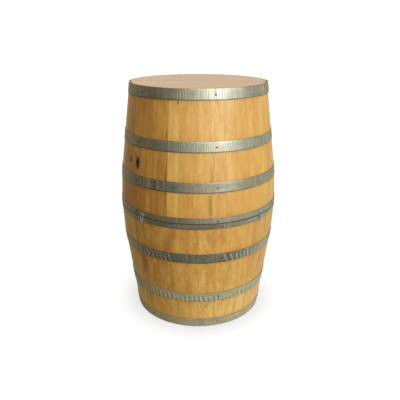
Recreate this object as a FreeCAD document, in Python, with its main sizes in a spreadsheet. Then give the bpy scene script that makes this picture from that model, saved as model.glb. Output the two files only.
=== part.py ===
import FreeCAD, Part

# Oak wine barrel, cut across near the bilge into two halves that four draw latches hold together.
#
# Frame: +Z up, with the origin on the floor at the middle of the base. An azimuth is counted in
# degrees about +Z from -Y, the front, towards +X. Lengths are in millimetres.
#
# Every size is a Size: a number that keeps its formula of the sheet's cells beside it, so that one
# line both draws a shape and binds it to the sheet.

import math
import os

import Sketcher
from FreeCAD import Placement, Rotation, Vector

DRIVING = (
    # the barrel
    ("height", 950, "overall height"),
    ("bilge_radius", 319, "staves' outer radius at mid-height"),
    ("bend_radius", 1280, "radius to which a stave is bent about the bilge"),
    ("bend_reach", 166, "the bend's reach above and below mid-height; beyond it a stave is straight"),
    ("stave_thickness", 25, "thickness of a stave"),
    ("first_joint", -54.3, "azimuth of the upper half's first stave joint"),
    ("cut_height", 471.5, "height of the cut between the halves"),
    ("cut_gap", 0.5, "gap between the halves' cut faces"),
    ("lower_turn", 3.5, "how far round the lower half was put back"),
    # the chimes, from either end of the barrel
    ("chime_face", 5, "width of a stave's end face"),
    ("chime_bevel", 30, "length of the bevel inside a stave's end"),
    ("croze_depth", 5, "depth of the groove that holds a head"),
    ("croze_width", 9, "width of that groove"),
    ("croze_middle", 50, "distance of the groove's middle from the end"),
    # the heads
    ("head_thickness", 24, "thickness of a head's boards"),
    ("head_bevel", 16, "width of the bevel round a head"),
    ("head_play", 0.3, "play of a head in its groove"),
    ("dowel_radius", 4, "dowels between the boards"),
    ("dowel_length", 32, "length of a dowel"),
    # the tabletop
    ("top_thickness", 19, "thickness of the tabletop"),
    ("top_play", 0.45, "clearance of the tabletop in the chime"),
    ("batten_width", 45, "width of the battens under the tabletop"),
    # the hoops
    ("hoop_thickness", 1.8, "thickness of the hoop strip"),
    ("hoop_play", 0.2, "clearance of a straight hoop on a bent stave"),
    ("lap_length", 72, "length of the riveted lap"),
    ("rivet_spacing", 34, "distance between the two rivets of a lap"),
    ("first_nail", 12.8, "azimuth of the upper half's first hoop nail"),
    # the draw latches, measured from the tangent plane in front of the seam hoops
    ("seat_play", 0.05, "gap between a flat latch plate and the curved hoop"),
    ("latch_sheet", 1.0, "thickness of the pressed steel"),
    ("pivot_height", 463, "height of a lever's pivot"),
    ("pivot_standoff", 3.6, "distance of the pivot from the hoop"),
    ("pivot_radius", 1.0, "radius of the pivot pin"),
    ("throw", 6, "distance between the pivot and the loop's bearing in the lever"),
    ("lever_width", 11, "width of a lever over its cheeks"),
    ("bracket_width", 8.4, "width of a base bracket over its ears"),
    ("wire_radius", 0.95, "radius of a loop's wire"),
    ("arm_offset", 6.8, "distance of a loop's arms from its middle line"),
    ("loop_length", 27.5, "distance of a loop's bar from its bearings"),
    ("foot_bend", 1.1, "radius of the wire's bends at its feet"),
    ("bar_bend", 2.2, "radius of its bends at the bar"),
    ("foot_reach", 0.05, "how far the wire's feet stop short of the insides of the cheeks"),
    ("running_play", 0.08, "radial play of the two turning joints"),
    ("bar_play", 0.3, "gap between a loop's bar and the keeper's ledge"),
    ("keeper_width", 10, "width of a keeper"),
)

# Widths of the staves in degrees, counted round from the first joint. The last one fills the rest.
STAVE_WIDTHS = (
    10.3, 10, 12.7, 7.9, 9.9, 12.5, 9.5, 8.5, 11, 12, 9, 12.5, 16.5, 14.5,
    14.5, 13.5, 15.5, 14.5, 14.5, 15, 14, 15, 15, 14.5, 13.5, 15, 14.5,
)  # fmt: skip

# Each hoop's name, the heights of its lower edge and its upper edge, and the azimuth of its lap.
# The sheet holds them as NAME_low, NAME_high and NAME_lap.
UPPER_HOOPS = (
    ("upper_chime_hoop", 911, 949.5, 88),
    ("upper_quarter_hoop", 733, 771, 152),
    ("upper_bilge_hoop", 589, 628, 215),
    ("upper_seam_hoop", 473, 495, 165),
)
LOWER_HOOPS = (
    ("lower_seam_hoop", 452, 470, 205),
    ("lower_bilge_hoop", 308, 347, 158),
    ("lower_quarter_hoop", 126, 167, 220),
    ("lower_chime_hoop", 1, 39, 150),
)
NAILS_PER_HOOP = 6
NAIL_DROP = 1  # how far below a hoop's middle line its nails are
RADIAN = math.degrees(1)

# Of each fastening: head radius, head height, shank radius, point radius.
NAIL = (3.3, 0.9, 1.1, 0.4)
RIVET = (4.2, 2.2, 2.4, 2.0)
LATCH_SCREW = (1.5, 0.8, 0.9, 0.4)
POINT_DEPTH = 14  # how deep a nail or a screw goes
HEAD_FLAT = 0.45  # share of a head's radius that is flat
HEAD_RIM = 0.3  # share of its height that its upright rim takes

LATCH_AZIMUTHS = (-41.2, 47.8, 138.5, 228.5)

# Where a head's boards meet, from its middle line, and where their dowels stand along each joint.
BOARD_JOINTS = (-162, -84, -6, 76, 159)
DOWEL_PLACES = (-95, 95)

TONGUE_START = 1  # how far inside the groove's mouth a head is already as thin as its tongue

BATTENS = ((-130, 340), (0, 440), (130, 340))  # place and length of each

doc = FreeCAD.newDocument("oak_wine_barrel")
dims = doc.addObject("Spreadsheet::Sheet", "dims")
values = {}
nodes = []


# ---- sizes and the sheet ---------------------------------------------------------------------


def fill_sheet():
    """Write every driving dimension into a cell of its own, with its name and its note."""
    stave_rows = [
        (f"stave_width_{number}", width, "width of a stave in degrees")
        for number, width in enumerate(STAVE_WIDTHS, 1)
    ]
    hoop_rows = []
    for name, low, high, lap in (*UPPER_HOOPS, *LOWER_HOOPS):
        hoop_rows += [
            (f"{name}_low", low, "height of the hoop's lower edge"),
            (f"{name}_high", high, "height of its upper edge"),
            (f"{name}_lap", lap, "azimuth of its lap"),
        ]
    for row, (alias, value, note) in enumerate([*DRIVING, *stave_rows, *hoop_rows], 1):
        dims.set(f"A{row}", alias)
        dims.set(f"B{row}", str(value))
        dims.set(f"C{row}", note)
        dims.setAlias(f"B{row}", alias)
        values[alias] = value
    doc.recompute()


class Size:
    """A number beside the formula of the sheet's cells that gives it."""

    def __init__(self, value, formula):
        self.value = float(value)
        self.formula = formula

    def __add__(self, other):
        other = size(other)
        return Size(self.value + other.value, f"({self.formula} + {other.formula})")

    def __sub__(self, other):
        other = size(other)
        return Size(self.value - other.value, f"({self.formula} - {other.formula})")

    def __mul__(self, other):
        other = size(other)
        return Size(self.value * other.value, f"({self.formula} * {other.formula})")

    def __truediv__(self, other):
        other = size(other)
        return Size(self.value / other.value, f"({self.formula} / {other.formula})")

    def __neg__(self):
        return size(0) - self


def size(source):
    """A Size from an alias of the sheet, a plain number or a Size."""
    if isinstance(source, Size):
        return source
    if isinstance(source, str):
        return Size(values[source], f"dims.{source}")
    return Size(source, repr(float(source)))


def root(square):
    return Size(math.sqrt(square.value), f"sqrt({square.formula})")


def bind(thing, **properties):
    """Set an object's properties and tie each to the sheet."""
    for name, source in properties.items():
        source = size(source)
        setattr(thing, name, source.value)
        thing.setExpression(name, source.formula)


def place(thing, azimuth=0, along=0, out=0, up=0, lean=0):
    """Put an object that was drawn facing -Y at its azimuth, radius and height on the barrel."""
    azimuth, along, out, up, lean = (size(source) for source in (azimuth, along, out, up, lean))
    round_barrel = Placement(Vector(), Rotation(Vector(0, 0, 1), azimuth.value))
    on_front = Placement(Vector(along.value, -out.value, up.value), Rotation(Vector(1, 0, 0), lean.value))
    thing.Placement = round_barrel * on_front
    thing.setExpression(
        "Placement",
        f"placement(vector(0; 0; 0); rotation(vector(0; 0; 1); {azimuth.formula})) * "
        f"placement(vector({along.formula}; {(-out).formula}; {up.formula}); "
        f"rotation(vector(1; 0; 0); {lean.formula}))",
    )


# ---- the barrel's outline --------------------------------------------------------------------


def distance_from_bilge(height):
    middle = size("height") / 2
    return height - middle if height.value > middle.value else middle - height


def outer_radius(height):
    """The staves' outer radius: an arc about the bilge, then its tangent out to the end."""
    height = size(height)
    bend = size("bend_radius")
    reach = size("bend_reach")
    away = distance_from_bilge(height)
    if away.value < reach.value:
        return size("bilge_radius") - bend + root(bend * bend - away * away)
    depth = root(bend * bend - reach * reach)
    return size("bilge_radius") - bend + depth - (away - reach) * reach / depth


def inner_radius(height):
    return outer_radius(height) - "stave_thickness"


def lean_of(height):
    """How far the staves' outer face leans back from upright at a height, in degrees."""
    low = outer_radius(height - 1)
    high = outer_radius(height + 1)
    return math.degrees(math.atan((high.value - low.value) / 2))


def hoop_edges(label):
    """The heights of a hoop's edges."""
    return size(f"{label}_low"), size(f"{label}_high")


# ---- drawing ---------------------------------------------------------------------------------


def hold(sketch, geometry, point, corner, kinds=("DistanceX", "DistanceY")):
    """Measure one point of a sketch from its origin, by the sheet."""
    for kind in kinds:
        source = size(corner[kind == "DistanceY"])
        number = sketch.addConstraint(Sketcher.Constraint(kind, -1, 1, geometry, point, source.value))
        sketch.setExpression(f"Constraints[{number}]", source.formula)


def spot(corner):
    return Vector(size(corner[0]).value, size(corner[1]).value, 0)


def draw_arc(sketch, start, end, centre):
    """An arc between two held corners. Its centre is held too, in the one direction that is left."""
    arms = (start - spot(centre), end - spot(centre))
    runs_left = arms[0].cross(arms[1]).z > -1e-9
    first, last = arms if runs_left else arms[::-1]
    circle = Part.Circle(spot(centre), Vector(0, 0, 1), arms[0].Length)
    arc = Part.ArcOfCircle(circle, math.atan2(first.y, first.x), math.atan2(last.y, last.x))
    number = sketch.addGeometry(arc, False)
    chord = end - start
    hold(sketch, number, 3, centre, ["DistanceX" if abs(chord.y) > abs(chord.x) else "DistanceY"])
    return (1, 2) if runs_left else (2, 1)


def draw_outline(sketch, corners, arcs=None, closed=True):
    """Join corners by lines, or by an arc on each side for which arcs gives a centre."""
    centres = arcs or {}
    points = [spot(corner) for corner in corners]
    sides = len(corners) if closed else len(corners) - 1
    ends = []
    for side in range(sides):
        start, end = points[side], points[(side + 1) % len(points)]
        if side in centres:
            ends.append(draw_arc(sketch, start, end, centres[side]))
        else:
            sketch.addGeometry(Part.LineSegment(start, end), False)
            ends.append((1, 2))
    for side in range(sides if closed else sides - 1):
        following = (side + 1) % sides
        joint = Sketcher.Constraint("Coincident", side, ends[side][1], following, ends[following][0])
        sketch.addConstraint(joint)
    for side in range(sides):
        hold(sketch, side, ends[side][0], corners[side])
    if not closed:
        hold(sketch, sides - 1, ends[-1][1], corners[-1])


def draw_circle(sketch, centre, radius):
    radius = size(radius)
    geometry = sketch.addGeometry(Part.Circle(spot(centre), Vector(0, 0, 1), radius.value), False)
    number = sketch.addConstraint(Sketcher.Constraint("Radius", geometry, radius.value))
    sketch.setExpression(f"Constraints[{number}]", radius.formula)
    hold(sketch, geometry, 3, centre)


def upright_sketch(name, corners, arcs=None):
    """A sketch in the plane of X, the radius, and Z, the height."""
    sketch = doc.addObject("Sketcher::SketchObject", name)
    sketch.Placement = Placement(Vector(), Rotation(Vector(1, 0, 0), 90))
    draw_outline(sketch, corners, arcs)
    return sketch


def revolve(name, sketch, turn=360, axis=(0, 0, 1)):
    solid = doc.addObject("Part::Revolution", name)
    solid.Source = sketch
    solid.Axis = axis
    solid.Base = (0, 0, 0)
    solid.Solid = True
    bind(solid, Angle=turn)
    return solid


def group(name, pieces):
    compound = doc.addObject("Part::Compound", name)
    compound.Links = pieces
    return compound


def cut(name, base, tool):
    result = doc.addObject("Part::Cut", name)
    result.Base = base
    result.Tool = tool
    return result


def node(thing, label):
    """Name a finished sub-part."""
    thing.Label = label
    nodes.append(thing)
    return thing


# ---- PartDesign ------------------------------------------------------------------------------


def new_body(label):
    return node(doc.addObject("PartDesign::Body", label), label)


def body_sketch(body, role, offset=0):
    """A sketch on one of the body's own origin planes, or that far along the plane's normal."""
    plane = next(feature for feature in body.Origin.OriginFeatures if feature.Role == role)
    sketch = body.newObject("Sketcher::SketchObject", "sketch")
    sketch.AttachmentSupport = (plane, [""])
    sketch.MapMode = "FlatFace"
    offset = size(offset)
    sketch.AttachmentOffset = Placement(Vector(0, 0, offset.value), Rotation())
    sketch.setExpression("AttachmentOffset.Base.z", offset.formula)
    return sketch


def pad(body, sketch, width):
    """Raise a sketch to a width, half to each side of its plane."""
    feature = body.newObject("PartDesign::Pad", "pad")
    feature.Profile = sketch
    feature.SideType = "Symmetric"
    bind(feature, Length=width)
    sketch.Visibility = False


def pocket(body, sketch, width):
    """Cut a sketch away over a width, half to each side of its plane, and see that it did."""
    doc.recompute()
    before = body.Shape.Volume
    feature = body.newObject("PartDesign::Pocket", "pocket")
    feature.Profile = sketch
    feature.SideType = "Symmetric"
    bind(feature, Length=width)
    doc.recompute()
    if body.Shape.Volume >= before:
        raise RuntimeError(f"a pocket of {body.Label} cuts nothing")


# ---- staves ----------------------------------------------------------------------------------


def stave_profile(name, end, cut_face):
    """A stave's lengthwise section from its cut face to the barrel's end, at height end."""
    up = 1 if end.value > cut_face.value else -1

    def from_end(distance):
        return end - size(distance) * up

    def inside(height, depth=0):
        return (inner_radius(height) + depth, height)

    bend_end = size("height") / 2 + size("bend_reach") * up
    bevel_start = from_end("chime_bevel")
    groove_out = from_end(size("croze_middle") - size("croze_width") / 2)
    groove_in = from_end(size("croze_middle") + size("croze_width") / 2)
    corners = [
        (outer_radius(cut_face), cut_face),
        (outer_radius(bend_end), bend_end),
        (outer_radius(end), end),
        (outer_radius(end) - "chime_face", end),
        inside(bevel_start),
        inside(groove_out),
        inside(groove_out, "croze_depth"),
        inside(groove_in, "croze_depth"),
        inside(groove_in),
        inside(bend_end),
        inside(cut_face),
    ]
    middle = size("height") / 2
    outer_centre = (size("bilge_radius") - "bend_radius", middle)
    inner_centre = (outer_centre[0] - "stave_thickness", middle)
    return upright_sketch(name, corners, {0: outer_centre, 9: inner_centre})


def stave_nodes(half, profile, turn, fastenings):
    """The half's staves, two neighbours to a node, each turned out of the same section."""
    widths = [size(f"stave_width_{number}") for number in range(1, len(STAVE_WIDTHS) + 1)]
    rest = size(360)
    for width in widths:
        rest = rest - width
    # A revolution starts at +X, a quarter turn on from the front.
    start = size("first_joint") - 90 + turn
    staves = []
    for number, width in enumerate([*widths, rest], 1):
        stave = revolve(f"{half}_stave_{number}", profile, width)
        place(stave, azimuth=start)
        staves.append(stave)
        start = start + width
    for number in range(len(staves) // 2):
        pair = group(f"{half}_stave_pair", staves[2 * number : 2 * number + 2])
        node(cut(f"{half}_drilled_pair", pair, fastenings), f"{half}_staves_{number + 1:02d}")


# ---- fastenings ------------------------------------------------------------------------------


def turned_profile(name, length, head_radius, head_height, shank_radius, point_radius):
    """Half of a rivet, nail or screw lying along Y, with the underside of its head at y = 0."""
    length = size(length)
    sketch = doc.addObject("Sketcher::SketchObject", name)
    corners = [
        (0, -head_height),
        (head_radius * HEAD_FLAT, -head_height),
        (head_radius, -head_height * HEAD_RIM),
        (head_radius, 0),
        (shank_radius, 0),
        (shank_radius, length - shank_radius),
        (point_radius, length),
        (0, length),
    ]
    draw_outline(sketch, corners)
    return sketch


def fastening(name, profile, **where):
    solid = revolve(name, profile, axis=(0, 1, 0))
    place(solid, **where)
    return solid


def hoop_face(height):
    """The radius of a hoop's outer face at a height."""
    return outer_radius(height) + "hoop_play" + "hoop_thickness"


def nails(half, hoops, turn, profile):
    """Six hoop nails round each hoop, driven square to its face."""
    step = 360 / NAILS_PER_HOOP
    placed = []
    for label, *_ in hoops:
        low, high = hoop_edges(label)
        height = (low + high) / 2 - NAIL_DROP
        for number in range(NAILS_PER_HOOP):
            azimuth = size("first_nail") + turn + number * step
            where = {"azimuth": azimuth, "out": hoop_face(height), "up": height, "lean": lean_of(height)}
            placed.append(fastening(f"{half}_nail", profile, **where))
    return node(group(f"{half}_nail_group", placed), f"{half}_hoop_nails")


def rivets(half, hoops, profile):
    """Two rivets through each hoop's lap."""
    placed = []
    for label, *_ in hoops:
        low, high = hoop_edges(label)
        height = (low + high) / 2
        out = hoop_face(height) + "hoop_thickness"
        spread = size("rivet_spacing") / out * RADIAN
        for side in (-0.5, 0.5):
            azimuth = size(f"{label}_lap") + spread * side
            where = {"azimuth": azimuth, "out": out, "up": height, "lean": lean_of(height)}
            placed.append(fastening(f"{half}_rivet", profile, **where))
    return node(group(f"{half}_rivet_group", placed), f"{half}_hoop_rivets")


def latch_screws(half, places, profile):
    """The small screws that hold the latch plates, at each place of a latch's own frame."""
    face = latch_seat() + "latch_sheet"
    placed = [
        fastening(f"{half}_screw", profile, azimuth=azimuth, along=along, out=face, up=up)
        for azimuth in LATCH_AZIMUTHS
        for along, up in places
    ]
    return node(group(f"{half}_screw_group", placed), f"{half}_latch_screws")


# ---- hoops -----------------------------------------------------------------------------------


def strip_profile(name, low, high, layer):
    """The section of a hoop's strip, or of the layer of its lap that lies on it."""
    inner = size("hoop_play") + size("hoop_thickness") * layer
    outer = inner + "hoop_thickness"
    corners = [
        (outer_radius(low) + inner, low),
        (outer_radius(low) + outer, low),
        (outer_radius(high) + outer, high),
        (outer_radius(high) + inner, high),
    ]
    return upright_sketch(name, corners)


def hoop_nodes(hoops, fastenings):
    """Each hoop: a conical ring with its lap, punched for its nails, rivets and screws."""
    for label, *_ in hoops:
        low, high = hoop_edges(label)
        ring = revolve(f"{label}_ring", strip_profile(f"{label}_section", low, high, 0))
        lap_turn = size("lap_length") / outer_radius(low) * RADIAN
        tongue = revolve(f"{label}_tongue", strip_profile(f"{label}_tongue_section", low, high, 1), lap_turn)
        # A revolution starts at +X, a quarter turn on from the front.
        place(tongue, azimuth=size(f"{label}_lap") - 90 - lap_turn / 2)
        strip = doc.addObject("Part::Fuse", f"{label}_strip")
        strip.Base = ring
        strip.Tool = tongue
        node(cut(f"{label}_punched", strip, fastenings), label)


# ---- heads and tabletop ----------------------------------------------------------------------


def head_profile(name, croze):
    """Half of a head's section, bevelled on both faces to fit the groove at height croze."""
    rim = inner_radius(croze)
    face = size("head_thickness") / 2
    tongue = size("croze_width") / 2 - "head_play"
    edge = rim + "croze_depth" - size("head_play") * 2
    corners = [
        (0, croze - face),
        (rim - "head_bevel", croze - face),
        (rim - TONGUE_START, croze - tongue),
        (edge, croze - tongue),
        (edge, croze + tongue),
        (rim - TONGUE_START, croze + tongue),
        (rim - "head_bevel", croze + face),
        (0, croze + face),
    ]
    return upright_sketch(name, corners)


def head_nodes(half, croze):
    """A head sawn into boards, with dowels across the joints."""
    croze = size(croze)
    reach = size("bilge_radius")
    disc = revolve(f"{half}_head_disc", head_profile(f"{half}_head_section", croze))
    dowels = []
    for joint in BOARD_JOINTS:
        for along in DOWEL_PLACES:
            dowel = doc.addObject("Part::Cylinder", f"{half}_dowel")
            bind(dowel, Radius="dowel_radius", Height="dowel_length")
            start = size(joint) - size("dowel_length") / 2
            place(dowel, azimuth=90, along=along, out=start, up=croze, lean=90)
            dowels.append(dowel)
    dowel_group = node(group(f"{half}_dowel_group", dowels), f"{half}_head_dowels")
    boards = []
    edges = [size(edge) for edge in (-reach, *BOARD_JOINTS, reach)]
    for left, right in zip(edges, edges[1:]):
        slab = doc.addObject("Part::Box", f"{half}_slab")
        bind(slab, Length=right - left, Width=reach * 2, Height=size("head_thickness") * 2)
        place(slab, along=left, out=reach, up=croze - "head_thickness")
        board = doc.addObject("Part::Common", f"{half}_board")
        board.Base = disc
        board.Tool = slab
        boards.append(board)
    drilled = cut(f"{half}_drilled_boards", group(f"{half}_board_group", boards), dowel_group)
    node(drilled, f"{half}_head_boards")


def tabletop_nodes():
    """The round top, coned to sit in the chime's bevel, and the battens that carry it."""
    height = size("height")
    underside = height - "top_thickness"
    bevel_start = height - "chime_bevel"
    mouth = outer_radius(height) - "chime_face"
    slope = (mouth - inner_radius(bevel_start)) / "chime_bevel"
    top = doc.addObject("Part::Cone", "tabletop_cone")
    brim = mouth - "top_play"
    bind(top, Radius1=brim - slope * "top_thickness", Radius2=brim, Height="top_thickness")
    place(top, up=underside)
    node(top, "tabletop")
    head_face = height - "croze_middle" + size("head_thickness") / 2
    battens = []
    for across, length in BATTENS:
        batten = doc.addObject("Part::Box", "batten")
        bind(batten, Length=length, Width="batten_width", Height=underside - head_face)
        place(batten, along=-length / 2, out=size("batten_width") / 2 - across, up=head_face)
        battens.append(batten)
    node(group("batten_group", battens), "tabletop_battens")


# ---- draw latches ----------------------------------------------------------------------------
# A latch is drawn about its pivot: X along the pivot, -Y away from the barrel, Z up.

PLATE_TOP = 5  # the base plate's top edge, above the pivot
PLATE_FOOT = 8.4  # its foot, below the pivot
EAR_RADIUS = 2
LEVER_FOOT = 8.6  # the lower end of the lever's cheeks, below the pivot
LEVER_TIP = 10.4  # the lower end of its finger plate
LEVER_TOP = 1.3  # the upper end of its front
LIP = 1.2  # how far the finger plate's lip turns out
CHEEK_BACK = 2  # how far the cheeks reach in towards the hoop from the pivot
CHEEK_RADIUS = 2.8
COVER = 3.4  # distance of the lever's front from the pivot
BRACKET_SCREWS = ((0, -6.2), (0, 3.2))  # along and above the pivot
KEEPER_TOP = 6.4  # the keeper's plate above its ledge
KEEPER_FOOT = 7.2  # and below it
KEEPER_SCREWS = ((-2.7, -3.9), (2.7, -3.9))  # along and above the ledge
LEDGE = 5.2  # how far the ledge stands out from the hoop
FAR = 20  # past the end of any latch piece


def latch_seat():
    """The tangent plane that the latch plates lie in."""
    return size("bilge_radius") + "hoop_play" + "hoop_thickness" + "seat_play"


def pivot_line():
    return latch_seat() + "pivot_standoff"


def ledge_height():
    """The underside of the keeper's ledge, just under the loop's bar."""
    bar = size("pivot_height") - "throw" + "loop_length"
    return bar - "wire_radius" - "bar_play" - "latch_sheet"


def bracket(number, azimuth):
    """A base bracket: a plate on the hoop with an ear at each side for the pivot pin."""
    body = doc.addObject("PartDesign::Body", f"bracket_{number}")
    back = size("pivot_standoff")
    front = back - "latch_sheet"
    side = body_sketch(body, "YZ_Plane")
    corners = [
        (back, -PLATE_FOOT),
        (back, PLATE_TOP),
        (front, PLATE_TOP),
        (front, EAR_RADIUS),
        (0, EAR_RADIUS),
        (0, -EAR_RADIUS),
        (front, -EAR_RADIUS),
        (front, -PLATE_FOOT),
    ]
    draw_outline(side, corners, {4: (0, 0)})
    pad(body, side, "bracket_width")
    between = body_sketch(body, "YZ_Plane")
    draw_outline(between, [(-FAR, -FAR), (front, -FAR), (front, FAR), (-FAR, FAR)])
    pocket(body, between, size("bracket_width") - size("latch_sheet") * 2)
    bore = body_sketch(body, "YZ_Plane")
    draw_circle(bore, (0, 0), "pivot_radius")
    pocket(body, bore, FAR)
    place(body, azimuth=azimuth, out=pivot_line(), up="pivot_height")
    return body


def pivot_pin(azimuth):
    pin = doc.addObject("Part::Cylinder", "pin")
    bind(pin, Radius="pivot_radius", Height="lever_width")
    start = -size("lever_width") / 2
    place(pin, azimuth=azimuth + 90, along=-pivot_line(), out=start, up="pivot_height", lean=90)
    return pin


def lever(number, azimuth):
    """A pressed lever: a channel over the bracket's ears, with a finger plate and a lip below."""
    body = new_body(f"latch_{number}_lever")
    inner = size(-COVER) + "latch_sheet"
    cheek_corner = math.sqrt(CHEEK_RADIUS**2 - CHEEK_BACK**2)
    side = body_sketch(body, "YZ_Plane")
    corners = [
        (CHEEK_BACK, -LEVER_FOOT),
        (CHEEK_BACK, cheek_corner),
        (-CHEEK_RADIUS, 0),
        (-COVER, -LEVER_TOP),
        (-COVER, -LEVER_TIP + LIP),
        (-COVER - LIP, -LEVER_TIP + LIP / 2),
        (-COVER - LIP, -LEVER_TIP),
        (inner, -LEVER_TIP),
        (inner, -LEVER_FOOT),
    ]
    draw_outline(side, corners, {1: (0, 0)})
    pad(body, side, "lever_width")
    channel = body_sketch(body, "YZ_Plane")
    corners = [
        (inner, -FAR),
        (FAR, -FAR),
        (FAR, FAR),
        (-FAR, FAR),
        (-FAR, -LEVER_TOP),
        (inner, -LEVER_TOP),
    ]
    draw_outline(channel, corners)
    pocket(body, channel, size("lever_width") - size("latch_sheet") * 2)
    bores = body_sketch(body, "YZ_Plane")
    draw_circle(bores, (0, 0), size("pivot_radius") + "running_play")
    draw_circle(bores, (0, -size("throw")), size("wire_radius") + "running_play")
    pocket(body, bores, FAR)
    place(body, azimuth=azimuth, out=pivot_line(), up="pivot_height")


def wire_loop(number, azimuth):
    """A wire loop whose inturned feet bear in the lever's cheeks, drawn from that bearing up."""
    body = new_body(f"latch_{number}_loop")
    arm = size("arm_offset")
    length = size("loop_length")
    foot = size("lever_width") / 2 - "latch_sheet" + "foot_reach"
    low_bend = size("foot_bend")
    high_bend = size("bar_bend")
    corners = [
        (foot, 0),
        (arm - low_bend, 0),
        (arm, low_bend),
        (arm, length - high_bend),
        (arm - high_bend, length),
        (-arm + high_bend, length),
        (-arm, length - high_bend),
        (-arm, low_bend),
        (-arm + low_bend, 0),
        (-foot, 0),
    ]
    arcs = {
        1: (arm - low_bend, low_bend),
        3: (arm - high_bend, length - high_bend),
        5: (-arm + high_bend, length - high_bend),
        7: (-arm + low_bend, low_bend),
    }
    path = body_sketch(body, "XZ_Plane")
    draw_outline(path, corners, arcs, closed=False)
    section = body_sketch(body, "YZ_Plane", foot)
    draw_circle(section, (0, 0), "wire_radius")
    doc.recompute()
    pipe = body.newObject("PartDesign::AdditivePipe", "pipe")
    pipe.Profile = section
    pipe.Spine = (path, [f"Edge{edge + 1}" for edge in range(len(corners) - 1)])
    place(body, azimuth=azimuth, out=pivot_line(), up=size("pivot_height") - "throw")


def keeper(number, azimuth):
    """A keeper: a plate on the upper hoop with a ledge for the loop's bar."""
    body = doc.addObject("PartDesign::Body", f"keeper_{number}")
    sheet = size("latch_sheet")
    side = body_sketch(body, "YZ_Plane")
    corners = [
        (0, -KEEPER_FOOT),
        (0, KEEPER_TOP),
        (-sheet, KEEPER_TOP),
        (-sheet, sheet),
        (-LEDGE, sheet),
        (-LEDGE, 0),
        (-sheet, 0),
        (-sheet, -KEEPER_FOOT),
    ]
    draw_outline(side, corners)
    pad(body, side, "keeper_width")
    place(body, azimuth=azimuth, out=latch_seat(), up=ledge_height())
    return body


def latch_nodes(lower_screws, upper_screws):
    """Four latches: brackets, pins and keepers grouped by kind, and a lever and a loop to each."""
    brackets, pins, keepers = [], [], []
    for number, azimuth in enumerate(LATCH_AZIMUTHS, 1):
        brackets.append(bracket(number, azimuth))
        pins.append(pivot_pin(azimuth))
        keepers.append(keeper(number, azimuth))
        lever(number, azimuth)
        wire_loop(number, azimuth)
    node(cut("drilled_brackets", group("bracket_group", brackets), lower_screws), "latch_brackets")
    node(group("pin_group", pins), "latch_pins")
    node(cut("drilled_keepers", group("keeper_group", keepers), upper_screws), "latch_keepers")


# ---- the whole barrel ------------------------------------------------------------------------


def build():
    nail = turned_profile("nail_profile", POINT_DEPTH, *NAIL)
    rivet = turned_profile("rivet_profile", size("hoop_thickness") * 2, *RIVET)
    screw = turned_profile("screw_profile", POINT_DEPTH, *LATCH_SCREW)
    bracket_places = [(along, size("pivot_height") + up) for along, up in BRACKET_SCREWS]
    keeper_places = [(along, ledge_height() + up) for along, up in KEEPER_SCREWS]

    lower = [
        nails("lower", LOWER_HOOPS, "lower_turn", nail),
        rivets("lower", LOWER_HOOPS, rivet),
        latch_screws("lower", bracket_places, screw),
    ]
    upper = [
        nails("upper", UPPER_HOOPS, 0, nail),
        rivets("upper", UPPER_HOOPS, rivet),
        latch_screws("upper", keeper_places, screw),
    ]
    lower_fastenings = group("lower_fastenings", lower)
    upper_fastenings = group("upper_fastenings", upper)

    half_gap = size("cut_gap") / 2
    lower_profile = stave_profile("lower_stave_profile", size(0), size("cut_height") - half_gap)
    upper_profile = stave_profile("upper_stave_profile", size("height"), size("cut_height") + half_gap)
    stave_nodes("lower", lower_profile, "lower_turn", lower_fastenings)
    stave_nodes("upper", upper_profile, 0, upper_fastenings)

    hoop_nodes(LOWER_HOOPS, lower_fastenings)
    hoop_nodes(UPPER_HOOPS, upper_fastenings)
    head_nodes("lower", "croze_middle")
    head_nodes("upper", size("height") - "croze_middle")
    tabletop_nodes()
    latch_nodes(lower[2], upper[2])


def check_and_write():
    """Refuse a document with a failed object or a bad shape, then write one file to each node."""
    doc.recompute()
    failed = [thing.Label for thing in doc.Objects if {"Invalid", "Error"} & set(thing.State)]
    bad = [thing.Label for thing in nodes if thing.Shape.isNull() or not thing.Shape.isValid()]
    if failed or bad:
        raise RuntimeError(f"failed objects {failed}, bad shapes {bad}")
    os.makedirs("parts", exist_ok=True)
    for thing in nodes:
        thing.Shape.exportStep(f"parts/{thing.Label}.step")
        print(f"{thing.Label}: {len(thing.Shape.Solids)} solids, {thing.Shape.Volume / 1000:.2f} cm3")


fill_sheet()
build()
check_and_write()
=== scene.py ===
import math

import bpy
import numpy as np
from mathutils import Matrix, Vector, noise

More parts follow.
